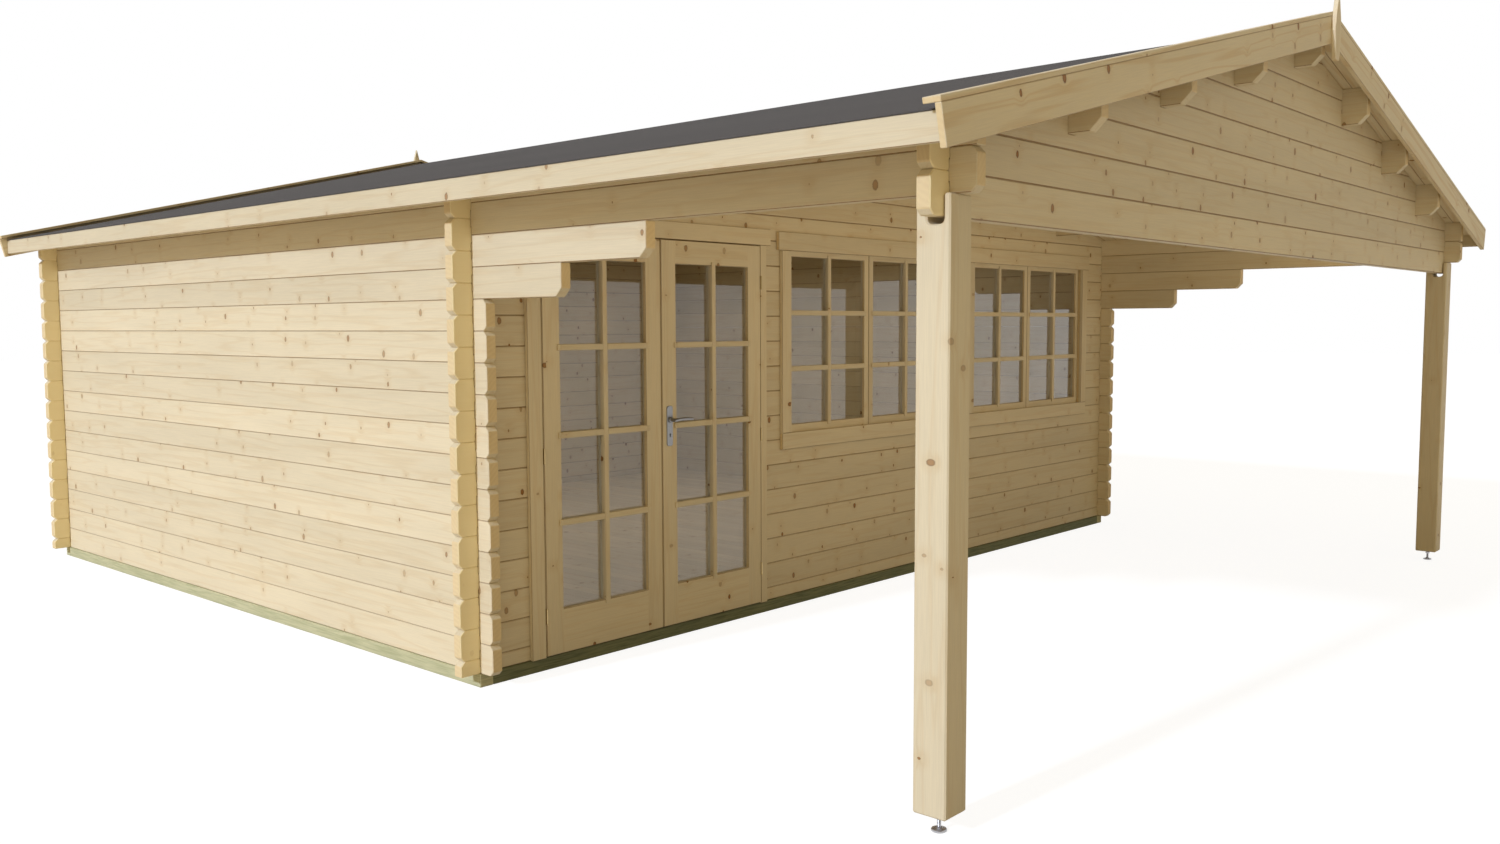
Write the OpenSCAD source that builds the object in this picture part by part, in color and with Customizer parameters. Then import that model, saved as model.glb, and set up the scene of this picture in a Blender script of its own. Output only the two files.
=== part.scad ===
// Log cabin with a gabled front canopy on two posts, a double glazed door and two double windows.
// Millimetres, Z up, the front looks along -Y, the ground is Z = 0.

/* [Walls] */
// Width over the outer faces of the side walls
width = 5900; // [5200:10:6600]
// Depth over the outer faces of the front and back walls
depth = 4760; // [3800:10:5600]
// Height of one log course
course = 135; // [125:1:145]
// Thickness of the wall logs
log_thickness = 50; // [40:1:70]
// How far the front and back logs run past the side walls
front_overrun = 100; // [70:1:130]
// How far the side logs run past the front and back walls
side_overrun = 90; // [70:1:100]
// Corner cut on each log end
end_chamfer = 20; // [6:1:28]
// Bedding clearance between one log and the next
bed = 0.4; // [0.2:0.1:1]
// Height of the impregnated foundation beams
foundation_height = 60; // [40:1:90]
// Width of the foundation beams
foundation_width = 70; // [60:1:100]
// How far the foundation shows outside the walls
foundation_reveal = 8; // [0:1:20]

// Thickness of the floor boards
deck = 19; // [16:0.5:28]
// Width of a floor joist
joist_width = 70; // [45:1:90]

/* [Canopy] */
// From the front wall to the front face of the canopy gable
canopy = 2370; // [1800:5:2800]
// Side of a square post
post_side = 120; // [110:1:140]
// Thickness of the front cheek of the post fork
post_cheek = 22; // [16:1:28]
// Gap under the tie log in the post fork
post_seat = 22; // [10:1:40]
// Height of the post above the ground
post_lift = 61; // [61:1:110]
// Diameter of the foot plate
foot_diameter = 50; // [50:1:110]
// Diameter of the foot screw
foot_screw = 14; // [12:1:36]
// Length of the upper bracket log
bracket_upper = 1070; // [900:5:1400]
// Length of the lower bracket log
bracket_lower = 585; // [300:5:800]
// Corner cut on the bracket ends
bracket_chamfer = 35; // [15:1:60]

/* [Roof] */
// Pitch of the roof in degrees
pitch = 14; // [11:0.5:18]
// From the side wall to the outer face of the eave fascia
eave = 250; // [200:5:320]
// From the back wall to the back face of the back bargeboards
back_eave = 125; // [118:1:300]
// From the canopy gable to the front edge of the roof boards
roof_reach = 140; // [90:1:160]
// From the front edge of the roof boards back to the ends of the purlins
purlin_back = 20; // [0:1:60]
// From the front edge of the roof boards back to the ends of the eave logs
eave_log_back = 46; // [0:1:60]
// Thickness of the roof boards
board = 18; // [16:0.5:28]
// Thickness of the roof felt
felt = 4; // [3:0.5:8]
// Height of the eave fascia
fascia_height = 88; // [80:1:130]
// Thickness of the eave fascia
fascia_thickness = 20; // [15:1:28]
// Width of a purlin
purlin_width = 50; // [40:1:70]
// Height of a purlin
purlin_height = 175; // [110:1:180]
// Corner cut on the purlin ends
purlin_chamfer = 43; // [15:1:60]
// From the middle of one purlin to the next, as a share of the width
purlin_share = 0.124; // [0.1:0.001:0.125]
// Depth of the bargeboards
barge_depth = 122; // [110:1:150]
// Thickness of the bargeboards
barge_thickness = 22; // [16:1:30]
// Width of the cap plank on a bargeboard
cap_width = 60; // [40:1:90]
// Thickness of the cap plank
cap_thickness = 18; // [14:1:24]
// Width of a finial
finial_width = 86; // [60:1:120]
// Height of a finial
finial_height = 310; // [240:5:340]

/* [Door] */
// From the left wall to the left edge of the door leaves
door_offset = 353; // [300:1:420]
// Width over both door leaves
door_width = 1468; // [1300:1:1520]
// Thickness of a door leaf
leaf_thickness = 40; // [36:1:48]
// Clearance round the moving leaves
leaf_gap = 5; // [5:0.5:7]
// Gap between the two leaves
meeting_gap = 9; // [9:0.5:11]
// Width of a leaf stile
stile = 98; // [80:1:120]
// Height of the bottom rail
bottom_rail = 205; // [150:1:260]
// Height of the top rail
top_rail = 116; // [90:1:150]
// Width of the left door casing
casing_left = 78; // [60:1:84]
// Width of the right door casing
casing_right = 50; // [44:1:84]
// Height of the board over the door
door_head = 86; // [70:1:110]

/* [Handle] */
// From the foundation to the lever
handle_height = 1040; // [950:5:1100]
// From the edge of the leaf to the middle of the handle plate
handle_backset = 46; // [40:1:60]
// Height of the handle plate
plate_height = 200; // [160:1:240]
// Width of the handle plate
plate_width = 38; // [30:1:44]
// Length of the lever
lever_length = 128; // [100:1:140]

/* [Window] */
// From the left wall to the wall opening of the first window
window_offset = 2047; // [1990:1:2200]
// Width of the wall opening of one window
window_width = 1600; // [1200:10:1640]
// Width of the wall between the two windows
window_pier = 291; // [150:1:400]
// Width of a window casing
window_casing = 78; // [60:1:90]
// Height of the board over the window
window_head = 100; // [80:1:120]
// Height of the board under the window
window_apron = 90; // [70:1:110]
// Width of a sash member
sash_member = 45; // [36:1:60]
// Thickness of a glass pane
pane = 4; // [3:0.5:6]

/* [Hidden] */
h = course;
t = log_thickness;
xw = width / 2;
zf = foundation_height;
notch_play = 0.5;
slope = tan(pitch);
rise = 1 / cos(pitch);
barge_front = canopy + roof_reach + bed + barge_thickness;
yf = (barge_front - depth - back_eave) / 2;
yb = yf + depth;
yg = yf - canopy;
roof_y0 = yg - roof_reach;
purlin_y0 = roof_y0 + purlin_back;
eave_log_y0 = roof_y0 + eave_log_back;
roof_y1 = yb + back_eave - barge_thickness - bed;
roof_length = roof_y1 - roof_y0;
purlin_count = 7;
gable_last = floor((zr(0) - zc(15.5)) / h);
head_course = 14.5;
sill_course = 6.5;
xi = xw - t - notch_play;
joist_count = 7;
joist_margin = 40;
deck_margin = t + 14;
felt_lip = 3;
barge_drop = 87;
barge_lip = 15;
finial_drop = 165;
finial_shoulder = 130;
finial_neck = 200;
fork_play = 5;
fork_radius = 18;
fork_step = 15;
foot_plate = 8;
casing = 20;
frame_in = 10;
jamb = 40;
door_head_rail = 28;
door_stop = 22;
door_sill = 26;
door_horn_left = 8;
door_horn_right = 36;
leaf_proud = 2;
leaf_lift = 6;
door_x0 = -xw + door_offset - leaf_gap;
door_x1 = -xw + door_offset + door_width + leaf_gap;
hole_x0 = door_x0 - jamb;
hole_x1 = door_x1 + jamb;
leaf_width = (door_width - meeting_gap) / 2;
left_leaf_x = door_x0 + leaf_gap;
right_leaf_x = left_leaf_x + leaf_width + meeting_gap;
leaf_front = yf - casing - leaf_proud;
leaf_z0 = zf + leaf_lift;
head_z = zc(head_course);
leaf_z1 = head_z - door_head_rail - leaf_gap;
stop_depth = leaf_front + leaf_thickness + leaf_gap;
win_x0 = -xw + window_offset;
win_x1 = win_x0 + window_width;
last_win_x0 = win_x1 + window_pier;
last_win_x1 = last_win_x0 + window_width;
window_starts = [win_x0, last_win_x0];
sill_z = zc(sill_course);
win_board = 30;
sash_count = 2;
sash_pitch = (window_width - 2 * win_board) / sash_count;
sash_play = 2;
sash_front = yf + 18;
sash_depth = 36;
sash_lip = 16;
window_lap = 38;
window_head_lap = 47;
window_sill_lap = 35;
window_horn = 28;
post_front = yg - fork_play - post_cheek;
post_x0 = -xw + t / 2 - post_side / 2;
rebate = 8;
leaf_lip = 20;
plate_thickness = 6;
plate_below = 130;
lever_height = 16;
lever_thickness = 13;
lever_heel = 9;
neck_length = 45;
casing_front = yf - casing - bed;
hinge_left = door_x0 + leaf_gap / 2;
hinge_right = door_x1 - leaf_gap / 2;
hinge_height = 36;
barrel_radius = 4.5;
barrel_play = 0.3;
pin_radius = 2.5;
pin_play = 0.08;
hinge_play = 0.1;
hinge_leaf = 1.2;
hinge_reach = 30;
hinge_y = leaf_front - barrel_radius - barrel_play;
hinge_levels = [leaf_z0 + 150, leaf_z0 + 880, leaf_z1 - 230];

// Level of a course joint, counted in courses above the foundation.
function zc(k) = zf + bed + k * h;
// Underside of the roof boards at x.
function zr(x) = zc(15.8) + (xw - abs(x)) * slope;
// Middle and underside of a purlin, counted from the left.
function purlin_x(i) = (i - (purlin_count - 1) / 2) * purlin_share * width;
function purlin_z(i) = zr(purlin_x(i)) - purlin_height;

PINE = [0.87, 0.79, 0.62];
PINE_TRIM = [0.89, 0.82, 0.66];
GREEN = [0.46, 0.48, 0.36];
FELT = [0.30, 0.29, 0.29];
GLASS = [0.72, 0.80, 0.82, 0.35];
STEEL = [0.62, 0.63, 0.64];

// Extrudes a profile drawn in (y, z) along +X from x0.
module along_x(x0, length) {
    translate([x0, 0, 0])
        rotate([90, 0, 90])
            linear_extrude(length)
                children();
}

// Extrudes a profile drawn in (x, z) along +Y from y0.
module along_y(y0, length) {
    translate([0, y0 + length, 0])
        rotate([90, 0, 0])
            linear_extrude(length)
                children();
}

// Rectangle from a to b, level z0 to z1, with corner cuts at the chosen ends.
module log_shape(a, b, z0, z1, cut_a, cut_b) {
    polygon([[a + cut_a, z0], [b - cut_b, z0], [b, z0 + cut_b], [b, z1 - cut_b],
             [b - cut_b, z1], [a + cut_a, z1], [a, z1 - cut_a], [a, z0 + cut_a]]);
}

// Quarter-course notches at the crossing that starts at p; low and high switch each one.
module notches(p, k, top, low, high) {
    if (low)
        translate([p - notch_play, zc(k) - 1])
            square([t + 2 * notch_play, h / 4 + 1]);
    if (high)
        translate([p - notch_play, zc(k + top - 0.25) - bed])
            square([t + 2 * notch_play, h]);
}

// Log of a front or back wall from x0 to x1, course k, with notches at both side walls.
module cross_log(k, top, x0, x1, low, high) {
    cut_a = x0 < -xw ? end_chamfer : 0;
    cut_b = x1 > xw ? end_chamfer : 0;
    difference() {
        log_shape(x0, x1, zc(k), zc(k + top) - bed, cut_a, cut_b);
        if (x0 < -xw)
            notches(-xw, k, top, low, high);
        if (x1 > xw)
            notches(xw - t, k, top, low, high);
    }
}

// Half log of the lowest course of a front or back wall.
module base_log(x0, x1) {
    cut = min(end_chamfer, h / 4 - 4);
    a = x0 < -xw ? cut : 0;
    b = x1 > xw ? cut : 0;
    z0 = zc(0);
    z1 = zc(0.5) - bed;
    difference() {
        polygon([[x0, z0], [x1, z0], [x1, z1 - b], [x1 - b, z1], [x0 + a, z1], [x0, z1 - a]]);
        if (x0 < -xw)
            notches(-xw, 0, 0.5, false, true);
        if (x1 > xw)
            notches(xw - t, 0, 0.5, false, true);
    }
}

// Side wall log in (y, z): course k with its front end at y0.
module side_log(k, y0, cut) {
    y1 = yb + side_overrun;
    difference() {
        log_shape(y0, y1, zc(k), zc(k + 1) - bed, cut, end_chamfer);
        notches(yf, k, 1, true, true);
        notches(yb - t, k, 1, true, true);
        if (y0 < yg)
            notches(yg, k, 1, true, true);
    }
}

// Bracket log in (y, z): only its lower front corner is cut.
module bracket_log(k, reach) {
    y0 = yf - reach;
    y1 = yb + side_overrun;
    z0 = zc(k);
    z1 = zc(k + 1) - bed;
    c = bracket_chamfer;
    e = end_chamfer;
    difference() {
        polygon([[y0 + c, z0], [y1 - e, z0], [y1, z0 + e], [y1, z1 - e], [y1 - e, z1],
                 [y0, z1], [y0, z0 + c]]);
        notches(yf, k, 1, true, true);
        notches(yb - t, k, 1, true, true);
    }
}

// Top log under the eave, bevelled to the roof, on the side given by s.
module plate_log(s) {
    z0 = zc(15);
    x0 = s * xw;
    x1 = s * (xw - t);
    y1 = yb + side_overrun;
    difference() {
        along_y(eave_log_y0, y1 - eave_log_y0)
            polygon([[x0, z0], [x1, z0], [x1, zr(x1) - bed], [x0, zr(x0) - bed]]);
        for (y = [yf, yb - t, yg])
            translate([min(x0, x1) - 1, y - notch_play, z0 - 1])
                cube([t + 2, t + 2 * notch_play, h / 4 + 1]);
    }
}

module side_wall(s) {
    x0 = s < 0 ? -xw : xw - t;
    along_x(x0, t)
        for (k = [0 : 11])
            side_log(k, yf - side_overrun, end_chamfer);
    along_x(x0, t)
        bracket_log(12, bracket_lower);
    along_x(x0, t)
        bracket_log(13, bracket_upper);
    along_x(x0, t)
        side_log(14, eave_log_y0, end_chamfer);
    plate_log(s);
}

// Course band of a gable in (x, z), cut to the roof and slotted for the purlins.
module gable_course(k) {
    z0 = zc(k);
    z1 = zc(k + 1) - bed;
    difference() {
        intersection() {
            polygon([[-xi, z0], [xi, z0], [xi, z1], [-xi, z1]]);
            polygon([[-xw, zc(15)], [xw, zc(15)], [xw, zr(xw) - bed], [0, zr(0) - bed],
                     [-xw, zr(xw) - bed]]);
        }
        for (i = [0 : purlin_count - 1])
            translate([purlin_x(i) - purlin_width / 2 - notch_play, purlin_z(i) - bed])
                square([purlin_width + 2 * notch_play, h * 4]);
    }
}

module gable(y) {
    for (k = [0 : gable_last])
        along_y(y, t)
            gable_course(15.5 + k);
}

module foundation_side(x) {
    color(GREEN)
        translate([x, yf - foundation_reveal, 0])
            cube([foundation_width, depth + 2 * foundation_reveal, zf]);
}

module foundation_cross(y) {
    x0 = -xw - foundation_reveal + foundation_width + bed;
    color(GREEN)
        translate([x0, y, 0])
            cube([-2 * x0, foundation_width, zf]);
}

module foundation_left() {
    foundation_side(-xw - foundation_reveal);
}

module foundation_right() {
    foundation_side(xw + foundation_reveal - foundation_width);
}

module foundation_front() {
    foundation_cross(yf - foundation_reveal);
}

module foundation_back() {
    foundation_cross(yb + foundation_reveal - foundation_width);
}

module floor_joists() {
    x0 = -xw - foundation_reveal + foundation_width + bed;
    y0 = yf - foundation_reveal + foundation_width + joist_margin;
    y1 = yb + foundation_reveal - foundation_width - joist_margin - joist_width;
    color(GREEN)
        for (i = [0 : joist_count - 1])
            translate([x0, y0 + i * (y1 - y0) / (joist_count - 1), 0])
                cube([-2 * x0, joist_width, zf]);
}

module floor_deck() {
    e = deck_margin;
    color(PINE)
        translate([-xw + e, yf + e, zf + bed])
            cube([width - 2 * e, depth - 2 * e, deck]);
}

module left_wall() {
    color(PINE)
        side_wall(-1);
}

module right_wall() {
    color(PINE)
        side_wall(1);
}

module back_wall() {
    x1 = xw + front_overrun;
    color(PINE) {
        along_y(yb - t, t)
            base_log(-x1, x1);
        for (k = [0 : 14])
            along_y(yb - t, t)
                cross_log(0.5 + k, 1, -x1, x1, true, true);
    }
}

module front_wall_left() {
    x0 = -xw - front_overrun;
    color(PINE) {
        along_y(yf, t)
            base_log(x0, hole_x0 - bed);
        for (k = [0 : 13])
            along_y(yf, t)
                cross_log(0.5 + k, 1, x0, hole_x0 - bed, true, true);
    }
}

module front_wall_right() {
    x1 = xw + front_overrun;
    color(PINE) {
        along_y(yf, t)
            base_log(hole_x1 + bed, x1);
        for (k = [0 : 5])
            along_y(yf, t)
                cross_log(0.5 + k, 1, hole_x1 + bed, x1, true, true);
        for (k = [6 : 13]) {
            along_y(yf, t)
                cross_log(0.5 + k, 1, hole_x1 + bed, win_x0 - bed, true, true);
            along_y(yf, t)
                cross_log(0.5 + k, 1, win_x1 + bed, last_win_x0 - bed, true, true);
            along_y(yf, t)
                cross_log(0.5 + k, 1, last_win_x1 + bed, x1, true, true);
        }
    }
}

module front_wall_top() {
    x1 = xw + front_overrun;
    color(PINE)
        along_y(yf, t)
            cross_log(head_course, 1, -x1, x1, true, true);
}

module front_gable() {
    color(PINE)
        gable(yf);
}

module back_gable() {
    color(PINE)
        gable(yb - t);
}

module canopy_gable() {
    x1 = xw + front_overrun;
    color(PINE) {
        along_y(yg, t)
            cross_log(13.5, 1, -x1, x1, false, true);
        along_y(yg, t)
            cross_log(14.5, 1, -x1, x1, true, true);
        gable(yg);
    }
}

// One purlin with a top that follows the roof and cut lower corners at both ends.
module purlin(i) {
    x = purlin_x(i);
    a = x - purlin_width / 2;
    b = x + purlin_width / 2;
    z = purlin_z(i);
    c = purlin_chamfer;
    ridge = abs(x) < purlin_width;
    difference() {
        along_y(purlin_y0, roof_y1 - purlin_y0)
            if (ridge)
                polygon([[a, z], [b, z], [b, zr(b) - bed], [0, zr(0) - bed], [a, zr(a) - bed]]);
            else
                polygon([[a, z], [b, z], [b, zr(b) - bed], [a, zr(a) - bed]]);
        along_x(a - 1, purlin_width + 2)
            polygon([[purlin_y0 - 1, z - 1], [purlin_y0 + c, z - 1], [purlin_y0 + c, z],
                     [purlin_y0, z + c], [purlin_y0 - 1, z + c]]);
        along_x(a - 1, purlin_width + 2)
            polygon([[roof_y1 + 1, z - 1], [roof_y1 - c, z - 1], [roof_y1 - c, z],
                     [roof_y1, z + c], [roof_y1 + 1, z + c]]);
    }
}

module purlins() {
    color(PINE)
        for (i = [0 : purlin_count - 1])
            purlin(i);
}

// Sloping layer on side s, from the ridge to x1, base and thickness square to the roof.
module roof_layer(s, x1, base, thick) {
    d0 = base * rise;
    d1 = (base + thick) * rise;
    x0 = bed / 2;
    along_y(roof_y0, roof_length)
        polygon([[s * x0, zr(x0) + d0], [s * x1, zr(x1) + d0], [s * x1, zr(x1) + d1],
                 [s * x0, zr(x0) + d1]]);
}

module roof_boards(s) {
    color(PINE_TRIM)
        roof_layer(s, xw + eave - fascia_thickness - bed, 0, board);
}

module roof_felt(s) {
    color(FELT)
        roof_layer(s, xw + eave + felt_lip, board + bed, felt);
}

module fascia(s) {
    x1 = xw + eave;
    x0 = x1 - fascia_thickness;
    z1 = zr(x1) + board * rise;
    color(PINE_TRIM)
        along_y(roof_y0, roof_length)
            polygon([[s * x0, z1 - fascia_height], [s * x1, z1 - fascia_height], [s * x1, z1],
                     [s * x0, z1]]);
}

// Bargeboard with its cap plank; the board starts at y and the cap at cap_y.
module bargeboard(s, y, cap_y) {
    x0 = bed / 2;
    x1 = xw + eave + barge_lip;
    x2 = x1 + barge_depth * sin(pitch);
    x3 = x2 + cap_thickness * sin(pitch);
    z0 = zr(x0) - barge_drop;
    z1 = zr(x1) - barge_drop;
    z2 = z1 + barge_depth * cos(pitch);
    z3 = z2 + cap_thickness * cos(pitch);
    ztop = z0 + barge_depth * rise;
    color(PINE_TRIM) {
        along_y(y, barge_thickness)
            polygon([[s * x0, z0], [s * x1, z1], [s * x2, z2], [s * x0, ztop]]);
        translate([0, 0, bed])
            along_y(cap_y, cap_width)
                polygon([[s * x0, ztop], [s * x2, z2], [s * x3, z3],
                         [s * x0, ztop + cap_thickness * rise]]);
    }
}

module bargeboard_front(s) {
    bargeboard(s, roof_y0 - bed - barge_thickness, roof_y0 - bed - barge_thickness);
}

module bargeboard_back(s) {
    bargeboard(s, roof_y1 + bed, roof_y1 + bed + barge_thickness - cap_width);
}

// Pointed board over the joint of two bargeboards.
module finial(y) {
    w = finial_width / 2;
    z0 = zr(0) - finial_drop;
    z1 = z0 + finial_height;
    za = z0 + finial_shoulder;
    zb = z0 + finial_neck;
    color(PINE_TRIM)
        along_y(y, casing)
            polygon([[-w * 0.55, z0], [w * 0.55, z0], [w, za], [w * 0.72, zb],
                     [0, z1], [-w * 0.72, zb], [-w, za]]);
}

module finials() {
    finial(roof_y0 - 2 * bed - barge_thickness - casing);
    finial(roof_y1 + 2 * bed + barge_thickness);
}

// Post with a fork that holds the tie log of the canopy gable.
module post(x) {
    z1 = zc(14) - bed;
    seat = zc(13.5) - post_seat;
    front = yg - fork_play;
    back = yg + t + fork_play;
    r = fork_radius;
    back_round = [for (a = [0 : fork_step : 90]) [back - r + r * cos(a), seat + r - r * sin(a)]];
    front_round = [for (a = [0 : fork_step : 90]) [front + r - r * sin(a), seat + r - r * cos(a)]];
    color(PINE)
        along_x(x, post_side)
            polygon(concat([[post_front, post_lift], [post_front + post_side, post_lift],
                            [post_front + post_side, z1], [back, z1]],
                           back_round, front_round,
                           [[front, z1], [post_front, z1]]));
}

// Foot plate with its screw.
module post_foot(x) {
    color(STEEL)
        translate([x + post_side / 2, post_front + post_side / 2, 0]) {
            cylinder(h = foot_plate, d = foot_diameter, $fn = 48);
            cylinder(h = post_lift - bed, d = foot_screw, $fn = 32);
        }
}

module post_left() {
    post(post_x0);
}

module post_right() {
    post(-post_x0 - post_side);
}

module post_feet() {
    post_foot(post_x0);
    post_foot(-post_x0 - post_side);
}

// Lining of the doorway: jambs with stops, head and a low sill behind the leaves.
module door_frame() {
    y1 = yf + t + frame_in;
    z0 = zf + bed;
    z1 = head_z - 2 * bed;
    w = door_x1 - door_x0;
    inside = head_z - door_head_rail - z0;
    s = door_stop;
    color(PINE_TRIM)
        difference() {
            translate([hole_x0, yf, z0])
                cube([hole_x1 - hole_x0, y1 - yf, z1 - z0]);
            translate([door_x0, yf - 1, z0 - 1])
                cube([w, stop_depth - yf + 1, inside + 1]);
            translate([door_x0 + s, yf, z0 + door_sill])
                cube([w - 2 * s, y1 - yf + 1, inside - s - door_sill]);
        }
}

module door_trim() {
    y0 = casing_front;
    z1 = head_z - door_head_rail;
    head_x0 = door_x0 - casing_left - door_horn_left;
    head_x1 = door_x1 + casing_right + door_horn_right;
    color(PINE_TRIM) {
        translate([door_x0 - casing_left, y0, zf + bed])
            cube([casing_left, casing, z1 - zf - 2 * bed]);
        translate([door_x1, y0, zf + bed])
            cube([casing_right, casing, z1 - zf - 2 * bed]);
        translate([head_x0, y0, z1])
            cube([head_x1 - head_x0, casing, door_head]);
    }
}

// Door leaf from x0 with a pane opening that widens to a rebate at the back.
module door_leaf(x0) {
    gx = leaf_width - 2 * stile;
    gz = leaf_z1 - leaf_z0 - bottom_rail - top_rail;
    color(PINE_TRIM)
        difference() {
            translate([x0, leaf_front, leaf_z0])
                cube([leaf_width, leaf_thickness, leaf_z1 - leaf_z0]);
            translate([x0 + stile, leaf_front - 1, leaf_z0 + bottom_rail])
                cube([gx, leaf_thickness + 2, gz]);
            translate([x0 + stile - rebate, leaf_front + leaf_lip, leaf_z0 + bottom_rail - rebate])
                cube([gx + 2 * rebate, leaf_thickness, gz + 2 * rebate]);
        }
}

module door_pane(x0) {
    gx = leaf_width - 2 * stile + 2 * rebate;
    gz = leaf_z1 - leaf_z0 - bottom_rail - top_rail + 2 * rebate;
    color(GLASS)
        translate([x0 + stile - rebate + bed, leaf_front + leaf_lip + bed,
                   leaf_z0 + bottom_rail - rebate + bed])
            cube([gx - 2 * bed, pane, gz - 2 * bed]);
}

module door_leaf_left() {
    door_leaf(left_leaf_x);
}

module door_leaf_right() {
    door_leaf(right_leaf_x);
}

module door_glass_left() {
    door_pane(left_leaf_x);
}

module door_glass_right() {
    door_pane(right_leaf_x);
}

// Plate of a hinge in the gap beside a leaf, on the side that s points to.
module hinge_flap(s) {
    near = leaf_gap / 2 - bed - hinge_leaf;
    translate([s > 0 ? near : -near - hinge_leaf, 0, 0])
        cube([hinge_leaf, hinge_reach, hinge_height]);
}

// Frame half of one hinge: a plate on the jamb and a pin; s points from the leaf to the jamb.
module hinge_pin(x, s, z) {
    translate([x, hinge_y, z]) {
        cylinder(h = hinge_height, r = barrel_radius, $fn = 32);
        cylinder(h = 2 * hinge_height, r = pin_radius, $fn = 32);
        hinge_flap(s);
    }
}

// Leaf half of one hinge: a plate on the edge of the leaf and a bored barrel over the pin.
module hinge_knuckle(x, s, z) {
    translate([x, hinge_y, z + hinge_height + hinge_play])
        difference() {
            union() {
                cylinder(h = hinge_height, r = barrel_radius, $fn = 32);
                hinge_flap(-s);
            }
            translate([0, 0, -1])
                cylinder(h = hinge_height + 2, r = pin_radius + pin_play, $fn = 32);
        }
}

module door_hinge_pins() {
    color(STEEL)
        for (z = hinge_levels) {
            hinge_pin(hinge_left, -1, z);
            hinge_pin(hinge_right, 1, z);
        }
}

module door_knuckles_left() {
    color(STEEL)
        for (z = hinge_levels)
            hinge_knuckle(hinge_left, -1, z);
}

module door_knuckles_right() {
    color(STEEL)
        for (z = hinge_levels)
            hinge_knuckle(hinge_right, 1, z);
}

// Handle plate and lever on the outside of the right leaf.
module door_handle() {
    x = right_leaf_x + handle_backset;
    y = leaf_front - plate_thickness - bed;
    z = zf + handle_height;
    color(STEEL) {
        translate([x - plate_width / 2, y, z - plate_below])
            cube([plate_width, plate_thickness, plate_height]);
        translate([x, y + 1, z])
            rotate([90, 0, 0])
                cylinder(h = neck_length + 1, d = lever_height, $fn = 32);
        translate([x - lever_heel, y - neck_length - lever_thickness / 2, z - lever_height / 2])
            cube([lever_length, lever_thickness, lever_height]);
    }
}

// Linings of the window openings.
module window_frame() {
    y1 = yf + t + frame_in;
    b = win_board;
    z1 = head_z - 2 * bed;
    color(PINE_TRIM)
        for (x = window_starts)
            difference() {
                translate([x, yf, sill_z + bed])
                    cube([window_width, y1 - yf, z1 - sill_z - bed]);
                translate([x + b, yf - 1, sill_z + b])
                    cube([window_width - 2 * b, y1 - yf + 2, head_z - sill_z - 2 * b]);
            }
}

module window_trim() {
    y0 = casing_front;
    w = window_casing;
    span = window_width + 2 * (w - window_lap);
    z0 = sill_z + window_sill_lap;
    z1 = head_z - window_head_lap;
    color(PINE_TRIM)
        for (x = window_starts)
            translate([x + window_lap - w, y0, 0]) {
                translate([0, 0, z0 + bed])
                    cube([w, casing, z1 - z0 - 2 * bed]);
                translate([span - w, 0, z0 + bed])
                    cube([w, casing, z1 - z0 - 2 * bed]);
                translate([0, 0, z0 - window_apron])
                    cube([span, casing, window_apron]);
                translate([-window_horn, 0, z1])
                    cube([span + 2 * window_horn, casing, window_head]);
            }
}

// Sash frame from its left edge, with a pane opening that widens to a rebate at the back.
module sash(z0, z1) {
    m = sash_member;
    difference() {
        translate([sash_play, 0, z0])
            cube([sash_pitch - 2 * sash_play, sash_depth, z1 - z0]);
        translate([m, -1, z0 + m])
            cube([sash_pitch - 2 * m, sash_depth + 2, z1 - z0 - 2 * m]);
        translate([m - rebate, sash_lip, z0 + m - rebate])
            cube([sash_pitch - 2 * m + 2 * rebate, sash_depth, z1 - z0 - 2 * m + 2 * rebate]);
    }
}

module window_sashes() {
    color(PINE_TRIM)
        for (x = window_starts, i = [0 : sash_count - 1])
            translate([x + win_board + i * sash_pitch, sash_front, 0])
                sash(sill_z + win_board + bed, head_z - win_board - bed);
}

module window_glass() {
    m = sash_member - rebate;
    z0 = sill_z + win_board + bed;
    z1 = head_z - win_board - bed;
    color(GLASS)
        for (x = window_starts, i = [0 : sash_count - 1])
            translate([x + win_board + i * sash_pitch + m + bed, sash_front + sash_lip + bed,
                       z0 + m + bed])
                cube([sash_pitch - 2 * m - 2 * bed, pane, z1 - z0 - 2 * m - 2 * bed]);
}

foundation_left();
foundation_right();
foundation_front();
foundation_back();
floor_joists();
floor_deck();
left_wall();
right_wall();
back_wall();
front_wall_left();
front_wall_right();
front_wall_top();
front_gable();
back_gable();
canopy_gable();
purlins();
roof_boards(-1);  // roof_boards_left
roof_boards(1);  // roof_boards_right
roof_felt(-1);  // roof_felt_left
roof_felt(1);  // roof_felt_right
fascia(-1);  // fascia_left
fascia(1);  // fascia_right
bargeboard_front(-1);  // bargeboard_front_left
bargeboard_front(1);  // bargeboard_front_right
bargeboard_back(-1);  // bargeboard_back_left
bargeboard_back(1);  // bargeboard_back_right
finials();
post_left();
post_right();
post_feet();
door_frame();
door_trim();
door_hinge_pins();
door_leaf_left();
door_leaf_right();
door_glass_left();
door_glass_right();
door_knuckles_left();
door_knuckles_right();
door_handle();
window_frame();
window_trim();
window_sashes();
window_glass();
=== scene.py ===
import math

import bmesh
import bpy
from mathutils import Matrix, Vector

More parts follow.
